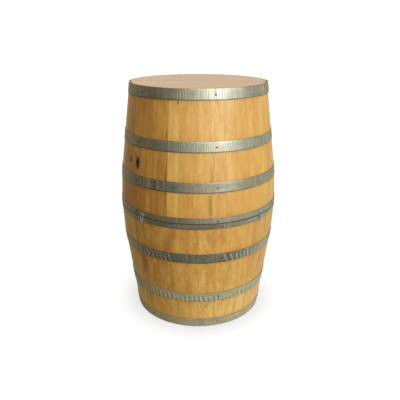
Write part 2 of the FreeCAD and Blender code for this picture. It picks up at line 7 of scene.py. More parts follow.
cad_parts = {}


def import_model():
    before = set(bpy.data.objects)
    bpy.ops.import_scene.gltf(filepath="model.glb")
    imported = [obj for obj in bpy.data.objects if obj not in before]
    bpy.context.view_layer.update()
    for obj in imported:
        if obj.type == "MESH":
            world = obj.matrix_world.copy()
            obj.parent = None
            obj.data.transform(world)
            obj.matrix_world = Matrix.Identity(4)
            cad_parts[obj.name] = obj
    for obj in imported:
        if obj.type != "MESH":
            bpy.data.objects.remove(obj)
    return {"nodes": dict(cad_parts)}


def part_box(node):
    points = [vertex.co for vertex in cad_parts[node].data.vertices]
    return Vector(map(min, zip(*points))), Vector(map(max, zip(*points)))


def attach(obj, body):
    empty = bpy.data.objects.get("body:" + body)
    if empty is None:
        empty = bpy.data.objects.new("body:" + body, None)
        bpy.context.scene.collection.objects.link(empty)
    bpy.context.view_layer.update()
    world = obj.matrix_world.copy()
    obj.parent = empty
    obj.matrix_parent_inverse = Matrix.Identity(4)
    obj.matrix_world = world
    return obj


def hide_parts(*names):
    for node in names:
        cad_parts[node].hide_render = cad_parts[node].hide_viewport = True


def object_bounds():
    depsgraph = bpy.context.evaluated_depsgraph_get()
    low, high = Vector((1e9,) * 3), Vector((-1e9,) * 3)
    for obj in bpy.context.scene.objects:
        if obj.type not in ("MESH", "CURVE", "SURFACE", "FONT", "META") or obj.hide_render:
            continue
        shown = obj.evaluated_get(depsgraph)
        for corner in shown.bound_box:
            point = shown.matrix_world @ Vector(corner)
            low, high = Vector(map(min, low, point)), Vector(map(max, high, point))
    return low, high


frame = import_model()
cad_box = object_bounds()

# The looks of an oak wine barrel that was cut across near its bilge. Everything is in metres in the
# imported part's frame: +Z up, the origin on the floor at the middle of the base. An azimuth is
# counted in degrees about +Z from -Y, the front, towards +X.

MM = 0.001
DEGREE = math.pi / 180

# ---- the barrel's driving sizes, as in the CAD ----

HEIGHT = cad_box[1].z
MIDDLE = HEIGHT / 2
BILGE_RADIUS = 319 * MM
BEND_RADIUS = 1280 * MM
BEND_REACH = 166 * MM
STAVE_THICKNESS = 25 * MM
CUT_GAP = 0.5 * MM
CUT_HEIGHT = 471.5 * MM
LOWER_TURN = 3.5
FIRST_JOINT = -54.3
# The staves' widths in degrees, from the first joint round. The last one takes what is left.
STAVE_WIDTHS = (
    10.3, 10, 12.7, 7.9, 9.9, 12.5, 9.5, 8.5, 11, 12, 9, 12.5, 16.5, 14.5,
    14.5, 13.5, 15.5, 14.5, 14.5, 15, 14, 15, 15, 14.5, 13.5, 15, 14.5,
)

CHIME_FACE = 5 * MM
CHIME_BEVEL = 30 * MM
CROZE_DEPTH = 5 * MM
CROZE_WIDTH = 9 * MM
CROZE_MIDDLE = 50 * MM
HEAD_BEVEL = 16 * MM
HEAD_PLAY = 0.3 * MM
BOARD_JOINTS = (-162 * MM, -84 * MM, -6 * MM, 76 * MM, 159 * MM)

HOOP_THICKNESS = 1.8 * MM
HOOP_PLAY = 0.2 * MM
LAP_LENGTH = 72 * MM
RIVET_SPACING = 34 * MM
FIRST_NAIL = 12.8
NAILS_PER_HOOP = 6

HALVES = ("upper", "lower")
HOOPS = ("chime", "quarter", "bilge", "seam")


def outer_radius(height):
    """The staves' outer radius: an arc about the bilge, then its tangent out to the end."""
    away = np.abs(np.asarray(height, float) - MIDDLE)
    depth = math.sqrt(BEND_RADIUS**2 - BEND_REACH**2)
    bent = np.sqrt(BEND_RADIUS**2 - np.minimum(away, BEND_REACH) ** 2)
    straight = np.maximum(away - BEND_REACH, 0) * BEND_REACH / depth
    return BILGE_RADIUS - BEND_RADIUS + bent - straight


def lean_of(height):
    """How far the outer face leans back from upright at a height, in degrees."""
    rise = outer_radius(height + MM) - outer_radius(height - MM)
    return math.degrees(math.atan(float(rise) / (2 * MM)))


def turned(azimuth, radius, height):
    """Points at an azimuth in degrees, a radius and a height."""
    angle = np.asarray(azimuth, float) * DEGREE
    angle, radius, height = np.broadcast_arrays(angle, radius, height)
    return np.stack([np.sin(angle) * radius, -np.cos(angle) * radius, height], -1)


def turn_to(azimuth, middle):
    """How far round an azimuth is from another, from -180 to 180 degrees."""
    return (azimuth - middle + 180) % 360 - 180


def placed(points, azimuth, out, up, lean):
    """Points drawn facing -Y, put at their azimuth, radius and height on the barrel."""
    tilt = lean * DEGREE
    x, y, z = np.moveaxis(np.asarray(points, float), -1, 0)
    y, z = y * math.cos(tilt) - z * math.sin(tilt), y * math.sin(tilt) + z * math.cos(tilt)
    y, z = y - out, z + up
    turn = azimuth * DEGREE
    return np.stack([x * math.cos(turn) - y * math.sin(turn), x * math.sin(turn) + y * math.cos(turn), z], -1)


# ---- small tools for meshes ----

SHARP_ANGLE = 35  # a corner sharper than this, in degrees, isn't shaded smooth


def smooth_step(value, low, high):
    """0 at low, 1 at high, and an S-curve between them."""
    share = np.clip((np.asarray(value, float) - low) / (high - low), 0, 1)
    return share * share * (3 - 2 * share)


def waves(points, seed):
    """Smooth noise from -1 to 1 at each point, which differs with the seed."""
    flat = np.asarray(points, float).reshape(-1, 3)
    offset = Vector((seed * 7.3, seed * 3.1, seed * 5.7))
    found = np.array([noise.noise(Vector(point) + offset) for point in flat])
    return found.reshape(np.shape(points)[:-1])


def flat_waves(x, y, swings, layer, seed):
    """Smooth noise with so many swings to one along x and along y. Each layer of it is different."""
    return waves(np.stack([x * swings[0], y * swings[1], np.full(x.shape, layer)], -1), seed)


def new_object(name, data):
    made = bpy.data.objects.new(name, data)
    bpy.context.scene.collection.objects.link(made)
    return made


def new_piece(name, half, points, faces, replaced, materials, indices=None):
    """A smooth-shaded mesh that rides on a half of the barrel and stands for a CAD node.

    Indices gives the number of each face's material, where there are several.
    """
    mesh = bpy.data.meshes.new(name)
    mesh.from_pydata(np.reshape(points, (-1, 3)).tolist(), [], faces)
    mesh.validate()
    mesh.polygons.foreach_set("use_smooth", [True] * len(mesh.polygons))
    mesh.set_sharp_from_angle(angle=SHARP_ANGLE * DEGREE)
    for material in materials:
        mesh.materials.append(material)
    if indices is not None:
        mesh.polygons.foreach_set("material_index", indices)
    piece = new_object(name, mesh)
    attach(piece, f"{half}_half")
    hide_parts(replaced)
    return piece


def store(piece, **fields):
    """Keep a number or a vector at every point of a piece, for its material to read."""
    for name, values in fields.items():
        flat = np.asarray(values, np.float32).ravel()
        is_vector = flat.size == 3 * len(piece.data.vertices)
        kind, key = ("FLOAT_VECTOR", "vector") if is_vector else ("FLOAT", "value")
        piece.data.attributes.new(name, kind, "POINT").data.foreach_set(key, flat)


def ring_faces(rows, columns):
    """Quads between rows of points, numbered row by row, where every row is a closed ring."""
    faces = []
    for low in range(0, (rows - 1) * columns, columns):
        high = low + columns
        for column in range(columns):
            following = (column + 1) % columns
            faces.append((low + column, low + following, high + following, high + column))
    return faces


def capped_faces(rows, columns):
    """Faces between rings, turned the other way out, with flat caps on the first and last."""
    faces = [face[::-1] for face in ring_faces(rows, columns)]
    last = (rows - 1) * columns
    return [*faces, tuple(range(columns)), tuple(range(last, last + columns))[::-1]]


def slab_faces(rows, columns):
    """Faces of a slab whose rows run along its front and back along its rear."""
    faces = ring_faces(rows, 2 * columns)
    last = (rows - 1) * 2 * columns
    for column in range(columns - 1):
        opposite = 2 * columns - 1 - column
        faces.append((column + 1, column, opposite, opposite - 1))
        faces.append((last + column, last + column + 1, last + opposite - 1, last + opposite))
    return faces


def there_and_back(front, rear=None):
    """Rows of values along a slab's front and back along its rear."""
    rear = front if rear is None else rear
    return np.concatenate([front, rear[:, ::-1]], 1)


def spread_between(low, high, step, ends):
    """Numbers about a step apart, with set distances in from either end."""
    near = [low + distance for distance in ends]
    far = [high - distance for distance in reversed(ends)]
    count = max(2, round((far[0] - near[-1]) / step) + 1)
    return np.unique(np.concatenate([near, np.linspace(near[-1], far[0], count), far]))


# ---- small tools for materials ----


def linear(shown):
    """A colour as light adds up, from one as a screen shows it, from 0 to 255."""
    shares = [((c / 255 + 0.055) / 1.055) ** 2.4 if c > 10 else c / 255 / 12.92 for c in shown]
    return (*shares, 1.0)


class Nodes:
    """A node tree, and short ways to add to it."""

    def __init__(self, tree):
        self.tree = tree

    def feed(self, socket, value):
        """Link a socket or set its value. A colour of three numbers is one that a screen shows."""
        if isinstance(value, bpy.types.NodeSocket):
            self.tree.links.new(value, socket)
        elif socket.type == "RGBA" and len(value) == 3:
            socket.default_value = linear(value)
        else:
            socket.default_value = value

    def node(self, kind, inputs=(), **settings):
        made = self.tree.nodes.new(kind)
        for name, value in settings.items():
            setattr(made, name, value)
        for socket, value in dict(inputs).items():
            self.feed(made.inputs[socket], value)
        return made

    def math(self, operation, *values):
        return self.node("ShaderNodeMath", enumerate(values), operation=operation).outputs[0]

    def vector_math(self, operation, first, second):
        return self.node("ShaderNodeVectorMath", {0: first, 1: second}, operation=operation)

    def add(self, *values):
        total = values[0]
        for value in values[1:]:
            total = self.math("ADD", total, value)
        return total

    def times(self, first, second):
        return self.math("MULTIPLY", first, second)

    def swing(self, value, size):
        """A number from 0 to 1, moved to lie about 0 and then multiplied."""
        return self.times(self.math("SUBTRACT", value, 0.5), size)

    def between(self, value, low, high, to_low=0, to_high=1):
        """A value's S-curve from to_low, at low, to to_high, at high."""
        inputs = {0: value, 1: low, 2: high, 3: to_low, 4: to_high}
        return self.node("ShaderNodeMapRange", inputs, interpolation_type="SMOOTHSTEP").outputs[0]

    def mix(self, share, first, second):
        inputs = {0: share, 6: first, 7: second}
        return self.node("ShaderNodeMix", inputs, data_type="RGBA").outputs[2]


class Paint(Nodes):
    """A material and the nodes that feed it. Its skin is the colour so far."""

    def __init__(self, name):
        self.material = bpy.data.materials.new(name)
        self.material.use_nodes = True
        super().__init__(self.material.node_tree)
        self.shader = self.tree.nodes["Principled BSDF"]

    def attribute(self, name, output="Fac"):
        return self.node("ShaderNodeAttribute", attribute_name=name).outputs[output]

    def place(self):
        return self.node("ShaderNodeTexCoord").outputs["Object"]

    def noise(self, vector, scale, detail=2, roughness=0.5, distortion=0):
        """Noise from 0 to 1, which a scale of three numbers stretches."""
        if isinstance(scale, tuple):
            vector, scale = self.vector_math("MULTIPLY", vector, scale).outputs[0], 1
        inputs = {"Vector": vector, "Scale": scale, "Detail": detail}
        inputs |= {"Roughness": roughness, "Distortion": distortion}
        return self.node("ShaderNodeTexNoise", inputs).outputs["Fac"]

    def cells(self, vector, scale):
        """A number from 0 to 1 that differs from cell to cell."""
        found = self.node("ShaderNodeTexVoronoi", {"Vector": vector, "Scale": scale}).outputs["Color"]
        return self.node("ShaderNodeSeparateColor", {0: found}).outputs[0]

    def bump(self, height, distance, strength, normal=None):
        inputs = {"Height": height, "Distance": distance, "Strength": strength}
        if normal is not None:
            inputs["Normal"] = normal
        return self.node("ShaderNodeBump", inputs).outputs[0]

    def ground(self, first, second, mask, low, high):
        """Begin the skin with one colour where a mask is low and another where it is high."""
        self.skin = self.mix(self.between(mask, low, high), first, second)

    def coat(self, shade, share):
        """Put a share of a shade over the skin."""
        self.skin = self.mix(share, self.skin, shade)

    def tint(self, shade, mask, low, high, most=1):
        """Put on a shade that is strongest where a mask is high."""
        self.coat(shade, self.between(mask, low, high, 0, most))

    def done(self, **sockets):
        for name, value in sockets.items():
            self.feed(self.shader.inputs[name.replace("_", " ").title()], value)
        return self.material

    def finish(self, gloss, relief, depth, strength=0.6, **sockets):
        """The usual end, with a roughness and a relief."""
        normal = self.bump(relief, depth, strength)
        return self.done(base_color=self.skin, roughness=gloss, normal=normal, **sockets)


# ---- wood ----
# A board's own coordinates are kept in "board": across the face, into it, and along the grain.


def grain_of(paint, board, fine=900, broad=(130, 90, 2.6), roughness=0.55, distortion=0.5):
    """Fine lines along the grain, from 0 to 1, and the broader bands that they lie in."""
    lines = paint.noise(board, (fine, fine, 9), detail=3, roughness=0.62, distortion=0.3)
    return lines, paint.noise(board, broad, detail=3, roughness=roughness, distortion=distortion)


def pores_of(paint, board):
    """The short dark pores of oak, 1 inside a pore."""
    return paint.between(paint.noise(board, (2300, 1600, 75), detail=1, roughness=0.4), 0.62, 0.74)


def flecks_of(paint, board):
    """The pale ray flecks across quarter-sawn oak, 1 inside a fleck."""
    flecks = paint.noise(board, (300, 300, 100), distortion=1.2)
    patches = paint.noise(board, (16, 16, 7), detail=1)
    return paint.times(paint.between(flecks, 0.60, 0.72), paint.between(patches, 0.45, 0.65))


def outer_oak():
    """The staves' varnished outside, with the marks that each stave keeps and the painted light and shade
    laid on it.
    """
    paint = Paint("oak_outside")
    board = paint.attribute("board", "Vector")
    lines, bands = grain_of(paint, board, broad=(105, 80, 2.4), roughness=0.5, distortion=0.8)
    broad = paint.noise(board, (36, 30, 1.6), distortion=0.6)
    clouds = paint.noise(board, (15, 15, 6), detail=3, roughness=0.55)
    mottle = paint.noise(board, (44, 44, 17), detail=4, roughness=0.62)
    dabs = paint.noise(board, (140, 140, 36), roughness=0.6)
    specks = paint.noise(board, 420, detail=3, roughness=0.7)
    pores = pores_of(paint, board)

    # The figure of the wood, from pale to brown, with the painted light and shade that each stave's given
    # darkness holds.
    worn = paint.attribute("worn")
    pale = (224, 187, 108)
    depth = paint.add(
        paint.swing(bands, 0.5),
        paint.swing(broad, 0.8),
        paint.swing(lines, 0.4),
        paint.swing(clouds, 0.9),
        paint.swing(paint.add(mottle, paint.swing(dabs, 0.7)), paint.add(0.5, paint.times(worn, 1.15))),
        paint.attribute("tone"),
    )
    paint.ground(pale, (203, 155, 72), depth, -0.75, 0.1)
    paint.tint((152, 101, 40), depth, -0.02, 1)
    paint.tint((196, 132, 56), paint.add(mottle, paint.times(clouds, 0.6)), 0.78, 1.1, 0.5)
    paint.coat(pale, paint.times(flecks_of(paint, board), 0.2))
    paint.coat((112, 70, 34), paint.times(pores, 0.3))

    # What has marked it since: stains, rubbed places, dirt in the joints, and knots. The first kind also
    # holds painted shade beside each hoop and darker wood along the cut.
    rough_edge = paint.swing(specks, 0.8)
    streaky = paint.add(paint.swing(lines, 0.9), paint.swing(bands, 1.3))
    for kind, shade, low, high in (("stain_and_shade", (118, 60, 24), 0, 1.15), ("grey", (92, 68, 44), 0.05, 1.25)):
        strength = paint.attribute(kind)
        strength = paint.add(strength, paint.times(streaky, strength))
        paint.tint(shade, strength, low, high)
    rubbed = paint.times(paint.between(dabs, 0.54, 0.74), worn)
    scuff = paint.add(paint.math("MAXIMUM", paint.attribute("scuff"), rubbed), paint.times(rough_edge, 1.5))
    paint.tint((236, 210, 164), scuff, 0.62, 1.1, 0.62)
    from_joint = paint.add(paint.attribute("edge"), paint.times(rough_edge, 1.2 * MM))
    dirt = paint.between(bands, 0.35, 0.65, 0.02, 0.3)
    paint.tint((104, 58, 26), from_joint, 1.1 * MM, 0, dirt)
    knot = paint.add(paint.attribute("knot"), paint.times(rough_edge, 0.35))
    paint.tint((110, 62, 28), knot, 1.7, 0.95, 0.75)
    paint.tint((22, 14, 9), knot, 1.05, 0.75)

    relief = paint.add(paint.times(lines, 0.5), paint.times(pores, -0.7), paint.times(specks, 0.25))
    gloss = paint.add(paint.times(mottle, 0.16), paint.times(lines, 0.10), paint.times(scuff, 0.06), 0.33)
    return paint.finish(gloss, relief, 0.35 * MM, coat_weight=0.06, coat_roughness=0.3)


def inner_oak():
    """The toasted inside, stained by wine."""
    paint = Paint("oak_inside")
    board = paint.attribute("board", "Vector")
    lines, bands = grain_of(paint, board, fine=700)
    blotches = paint.noise(board, (14, 14, 8), detail=5, roughness=0.65)
    paint.ground((122, 74, 52), (78, 42, 34), bands, 0.3, 0.75)
    paint.tint((58, 26, 30), blotches, 0.42, 0.68)
    paint.tint((40, 24, 18), lines, 0.45, 0.8, 0.5)
    relief = paint.add(paint.times(lines, 0.6), paint.times(blotches, 0.8))
    return paint.finish(paint.add(paint.times(blotches, 0.2), 0.62), relief, 0.5 * MM, 0.8)


def end_oak():
    """Sawn ends and edges, darkened with age."""
    paint = Paint("oak_end_grain")
    board = paint.attribute("board", "Vector")
    rings = paint.noise(board, (520, 150, 260), detail=3, roughness=0.6, distortion=0.4)
    marks = paint.noise(board, (90, 900, 90), roughness=0.6)
    paint.ground((122, 78, 48), (72, 42, 26), rings, 0.35, 0.7)
    paint.tint((52, 30, 20), marks, 0.5, 0.75, 0.4)
    gloss = paint.add(paint.times(rings, 0.15), 0.6)
    return paint.finish(gloss, paint.add(rings, marks), 0.3 * MM)


def head_oak():
    """The heads' raw oak, with its pores."""
    paint = Paint("head_boards_oak")
    board = paint.attribute("board", "Vector")
    lines, bands = grain_of(paint, board, fine=807)
    pores = pores_of(paint, board)
    dark = (128, 84, 54)
    paint.ground((168, 124, 82), dark, bands, 0.3, 0.72)
    paint.tint(dark, lines, 0.4, 0.75, 0.35)
    paint.coat((84, 54, 34), paint.times(pores, 0.4))
    relief = paint.add(lines, paint.times(pores, -0.8))
    return paint.finish(paint.add(paint.times(bands, 0.15), 0.5), relief, 0.3 * MM)


def top_wood():
    """The tabletop's pinkish tan veneer, with faint grain from side to side."""
    paint = Paint("tabletop_veneer")
    board = paint.attribute("board", "Vector")
    lines, bands = grain_of(paint, board, fine=620)
    figure = paint.noise(board, (22, 22, 2.2), detail=3, distortion=1)
    paint.ground((185, 161, 135), (174, 146, 119), figure, 0.3, 0.7)
    paint.tint((159, 125, 97), bands, 0.45, 0.8, 0.35)
    paint.tint((147, 111, 84), lines, 0.55, 0.8, 0.25)
    return paint.finish(paint.add(paint.times(figure, 0.12), 0.42), lines, 0.12 * MM, 0.5)


def hidden_oak():
    """The battens and dowels, whose length and grain lie along X."""
    paint = Paint("plain_boards_oak")
    x, y, z = paint.node("ShaderNodeSeparateXYZ", {0: paint.place()}).outputs
    board = paint.node("ShaderNodeCombineXYZ", {0: y, 1: z, 2: x}).outputs[0]
    lines, bands = grain_of(paint, board)
    paint.ground((200, 160, 110), (164, 118, 72), bands, 0.3, 0.7)
    paint.tint((140, 98, 60), lines, 0.4, 0.8, 0.4)
    return paint.finish(paint.add(paint.times(bands, 0.15), 0.55), lines, 0.2 * MM)


# ---- steel ----
# A hoop's own coordinates are kept in "strip": along it, up it, and a number that differs by hoop.


def hoop_steel(name, base, dark, roughness, metal, streaks, side_sheen):
    """Old galvanised strip: marks across it, faint spangle, and patches of olive and blue-grey.

    Streaks is how strong the marks are, and the last is how much paler the strip is painted away from its
    front and round the back, a painted sheen.
    """
    paint = Paint(name)
    strip = paint.attribute("strip", "Vector")
    across = paint.noise(strip, (210, 11, 1), detail=3, roughness=0.65, distortion=0.2)
    rolled = paint.noise(strip, (125, 4, 1), roughness=0.6)
    patches = paint.noise(strip, (16, 34, 1), detail=5, roughness=0.62)
    spots = paint.noise(strip, (11, 26, 1), detail=4, roughness=0.6)
    cool = paint.between(paint.noise(strip, (7, 2, 1)), 0.4, 0.62)
    facets = paint.cells(strip, 230)
    specks = paint.noise(strip, 900, roughness=0.7)

    paint.ground(base, dark, patches, 0.38, 0.66)
    paint.tint(dark, across, 0.4, 0.75, 0.4)
    # Painted sheen: the strip is painted paler away from its front and round the back.
    paint.coat((190, 183, 152), paint.times(paint.attribute("behind"), side_sheen))
    paint.coat((134, 148, 142), paint.times(cool, 0.3))
    paint.tint((140, 126, 76), spots, 0.5, 0.66, 0.3)
    strength = paint.add(paint.times(cool, streaks), 0.08)
    paint.tint((222, 222, 208), rolled, 0.56, 0.68, strength)
    paint.tint((92, 92, 74), rolled, 0.46, 0.34, strength)
    paint.coat((205, 208, 190), paint.times(facets, 0.16))

    # Painted highlights and shade on the hammer marks, partly polished steel: lighter in a mark, darker
    # between two.
    polish_and_glint = paint.add(paint.attribute("dent"), paint.swing(patches, 0.8))
    paint.tint((210, 208, 186), polish_and_glint, 0.35, 0.95, 0.5)
    paint.tint((88, 92, 84), polish_and_glint, -0.25, -0.8, 0.4)
    from_edge = paint.add(paint.attribute("edge"), paint.swing(specks, 4 * MM))
    paint.tint((86, 74, 50), from_edge, 3.5 * MM, 0, 0.5)
    paint.tint((84, 70, 46), specks, 0.66, 0.78, 0.5)

    uneven = paint.add(paint.times(patches, 0.22), paint.times(across, 0.18), paint.times(facets, 0.05))
    relief = paint.bump(paint.add(across, paint.times(specks, 0.3)), 0.16 * MM, 0.7)
    normal = paint.bump(rolled, MM, 0.6, relief)
    gloss = paint.add(uneven, roughness)
    return paint.done(base_color=paint.skin, metallic=metal, roughness=gloss, normal=normal)


def plain_steel(name, bright, dull, roughness, metal=0.95):
    """Small steel parts, with dull patches and fine scratches."""
    paint = Paint(name)
    place = paint.place()
    patches = paint.noise(place, 260, detail=4, roughness=0.6)
    scratches = paint.noise(place, (700, 700, 120), roughness=0.6)
    paint.ground(bright, dull, patches, 0.35, 0.7)
    gloss = paint.add(paint.times(patches, 0.25), paint.times(scratches, 0.1), roughness)
    return paint.finish(gloss, paint.add(patches, scratches), 0.1 * MM, 0.5, metallic=metal)


# ---- staves ----
# Marks on the outside: the azimuth and height of the middle, the half width and half height in mm,
# and the strength.

MARKS = {
    ("upper", "knot"): ((-47.5, 0.672, 10, 21, 1), (-56.6, 0.675, 6, 10, 0.85)),
    ("upper", "stain_and_shade"): (
        (-14.5, 0.903, 3.5, 12, 1.3), (-14.4, 0.876, 3, 34, 0.5), (-22.1, 0.62, 7, 110, 0.85),
        (-22.2, 0.775, 5, 60, 0.7), (-24, 0.66, 16, 230, 0.3), (-28.5, 0.6, 14, 200, 0.45),
        (10.3, 0.7, 5, 66, 0.6), (9.4, 0.63, 7, 70, 0.65), (8.1, 0.54, 11, 90, 0.6),
        (45.3, 0.818, 4, 9, 0.6), (53, 0.806, 4, 7, 0.5), (-49, 0.56, 22, 90, 0.3),
    ),
    ("upper", "scuff"): (
        (4, 0.843, 16, 2, 1), (1, 0.642, 10, 6, 0.8), (29, 0.527, 14, 5, 0.9), (49, 0.54, 18, 30, 0.6),
    ),
    ("lower", "grey"): (
        (-49, 0.4, 20, 110, 0.5), (-45.5, 0.275, 26, 90, 0.65), (-44, 0.1, 14, 70, 0.45),
        (-20.8, 0.3, 7, 260, 0.6), (-32, 0.22, 20, 90, 0.4),
    ),
    ("lower", "stain_and_shade"): ((10, 0.256, 11, 34, 0.35), (-18, 0.43, 20, 50, 0.4), (-24, 0.36, 40, 60, 0.25)),
    ("lower", "scuff"): (
        (-13, 0.275, 50, 34, 0.75), (2, 0.385, 20, 40, 0.7), (-15, 0.37, 24, 30, 0.6),
        (22, 0.2, 30, 50, 0.6),
    ),
}
KINDS = ("stain_and_shade", "grey", "scuff")
MARK_FADE = (1.25, 0.1)  # where a mark begins and is at its strongest, in half widths from its middle
# A knot, in its own radii: how far away it is where there is none, how much smaller a faint one is,
# and where its hollow and its raised rim begin and end.
NO_KNOT = 9.0
FAINT_KNOT = 0.3
KNOT_HOLLOW = (1.05, 0.45)
KNOT_RIM = (1.8, 1.2)
KNOT_DEPTH = 1.3 * MM
RIM_SHARE = 0.2  # the rim's height as a share of that
SEAM_DARK = 8 * MM  # the height of the dark wood along the cut
HOOP_SHADE = 0.3  # the strength of the painted shade, with some dirt, beside a hoop
HOOP_SHADE_REACH = 9 * MM

# How much darker than the others some staves are, by their number less one. Those round the left side,
# away from the key light, are darker partly as painted shade.
STAVE_TONES_AND_SHADE = {
    "upper": {0: 0.6, 1: 0.56, 2: 0.48, 3: -0.22, 4: -0.02, 5: -0.05, 6: -0.15, 7: -0.08, 8: 0.05, 27: 0.55},
    "lower": {0: 0.25, 1: 0.3, 2: 0.35, 3: 0.15, 4: 0.08, 5: 0, 6: 0.05, 7: -0.1, 8: 0, 27: 0.1},
}
TONE_SPREAD = 0.2
# The wood is darkest about its middle and palest near the floor, and paler again near the top: partly
# its own colour and partly painted light, a painted sheen near the top and painted bounce light from the
# floor near its foot. It is most rubbed in front, below the cut: WEAR_ROUND goes by how far round it is
# from the most rubbed side.
TONE_AND_LIGHT_BY_HEIGHT = ((0, 0.12, 0.2, 0.38, 0.55, 0.7, 0.9), (-0.42, -0.28, -0.03, 0.09, 0.14, 0.04, -0.08))
WEAR_BY_HEIGHT = ((0, 0.2, 0.4, 0.47, 0.55, 0.95), (0.5, 1.0, 1.0, 0.5, 0.2, 0.1))
WEAR_ROUND = ((0, 25, 50), (1.2, 0.9, 0.25))
WORN_SIDE = -8

COLUMN_STEP = 5 * MM
ROW_STEP = 6 * MM
FINE_STEP = 2.2 * MM  # for both, on a stave with a knot
LEAST_STEP = 1.2 * MM
SIDE_GAP = 0.05 * MM
CORNER = 0.15 * MM  # half the length along a stave in which its croze goes from flush to full depth
# Rounded edges of a stave, as distances in from the edge and drops there.
ARRIS = MM * np.array([(0, 0.2, 0.7, 2.2), (0.10, 0.03, 0.005, 0)])
CHIME_ARRIS = MM * np.array([(0, 0.5, 1.5), (0.9, 0.3, 0)])
CUT_ARRIS = MM * np.array([(0, 0.4, 1.2), (0.4, 0.06, 0)])
INNER_ARRIS = MM * np.array([(0, 0.5, 1.5), (0.6, 0.15, 0)])
STAVE_LIFT = (-0.12, 0.06)  # how far a whole stave stands in or out, in mm
# Unevenness: its size, how many swings there are to a metre along each axis, and its seed.
BROAD_SWELL = (0.14 * MM, (28, 28, 9), 0)
FINE_SWELL = (0.05 * MM, (160, 160, 22), 40)
ROUGH_INSIDE = (0.12 * MM, (60, 60, 14), 90)
INSIDE_RADIUS = 0.25
NEXT_STAVE = (1.37, 0.73, 2.11)  # how far away in the grain the next stave was cut
LOWER_STAVES = 50  # how many staves further away the lower half's were cut
OUTSIDE, INSIDE, END = range(3)  # a stave's materials

# Where a stave's thickness changes, from its chime end, and what it is there.
CROZE = [CROZE_MIDDLE + side * CROZE_WIDTH / 2 + turn * CORNER for side in (-1, 1) for turn in (-1, 1)]
WALL_PLACES = (0, CHIME_BEVEL, *CROZE)
GROOVED = STAVE_THICKNESS - CROZE_DEPTH
WALL = (CHIME_FACE, STAVE_THICKNESS, STAVE_THICKNESS, GROOVED, GROOVED, STAVE_THICKNESS)


def unevenness(kind, azimuth, radius, height, number):
    """How far a stave's surface is out of true at an azimuth, a radius and a height."""
    size, swings, seed = kind
    return size * waves(turned(azimuth, radius, height) * swings, number + seed)


def mark_fields(half, azimuth, height, radius):
    """The strength of each kind of mark, how near a knot is, and how deep its dent is."""
    fields = {kind: np.zeros(azimuth.shape) for kind in KINDS}
    knot = np.full(azimuth.shape, NO_KNOT)
    dent = np.zeros(azimuth.shape)
    marks = [(kind, *mark) for (where, kind), those in MARKS.items() for mark in those if where == half]
    for kind, middle, level, half_width, half_height, strength in marks:
        across = turn_to(azimuth, middle) * DEGREE * radius / (half_width * MM)
        along = (height - level) / (half_height * MM)
        distance = np.hypot(across, along)
        if kind == "knot":
            knot = np.minimum(knot, distance + (1 - strength) * FAINT_KNOT)
            rim = RIM_SHARE * smooth_step(distance, *KNOT_RIM)
            dent += strength * (smooth_step(distance, *KNOT_HOLLOW) - rim)
        else:
            fields[kind] = np.maximum(fields[kind], strength * smooth_step(distance, *MARK_FADE))
    return fields, knot, dent * KNOT_DEPTH


def by_hoops(half, height):
    """How close heights are to a hoop's edge, from 0 to 1."""
    close = np.zeros(height.shape)
    for name in HOOPS:
        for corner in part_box(f"{half}_{name}_hoop"):
            close = np.maximum(close, np.exp(-np.abs(height - corner.z) / HOOP_SHADE_REACH))
    return close


def has_knot(half, start, end):
    """Whether a knot lies on a stave between two azimuths, or just beside it."""
    knots = MARKS.get((half, "knot"), ())
    return any(abs(turn_to(middle, (start + end) / 2)) < (end - start) / 2 + 1 for middle, *_ in knots)


def rows_along(length, step):
    """A stave's rows, as distances from its chime end: close together where its shape changes."""
    by_cut = length - np.array([SEAM_DARK, SEAM_DARK / 2, *CUT_ARRIS[0]])
    special = np.concatenate([CHIME_ARRIS[0], WALL_PLACES[1:], by_cut])
    regular = np.arange(step, length - step / 2, step)
    clear = np.abs(regular[:, None] - special).min(1) > LEAST_STEP
    return np.sort(np.concatenate([special, regular[clear]]))


def stave_faces(from_end, columns):
    """A stave's faces, and which of its materials each has."""
    rows = len(from_end)
    faces = slab_faces(rows, columns)
    around = [OUTSIDE] * (columns - 1) + [END] + [INSIDE] * (columns - 1) + [END]
    materials = np.tile(around, (rows - 1, 1))
    bevel = from_end[:-1] < CHIME_BEVEL - 0.1 * MM
    materials[(materials == INSIDE) & bevel[:, None]] = END
    caps = len(faces) - materials.size
    return faces, [*materials.ravel(), *[END] * caps]


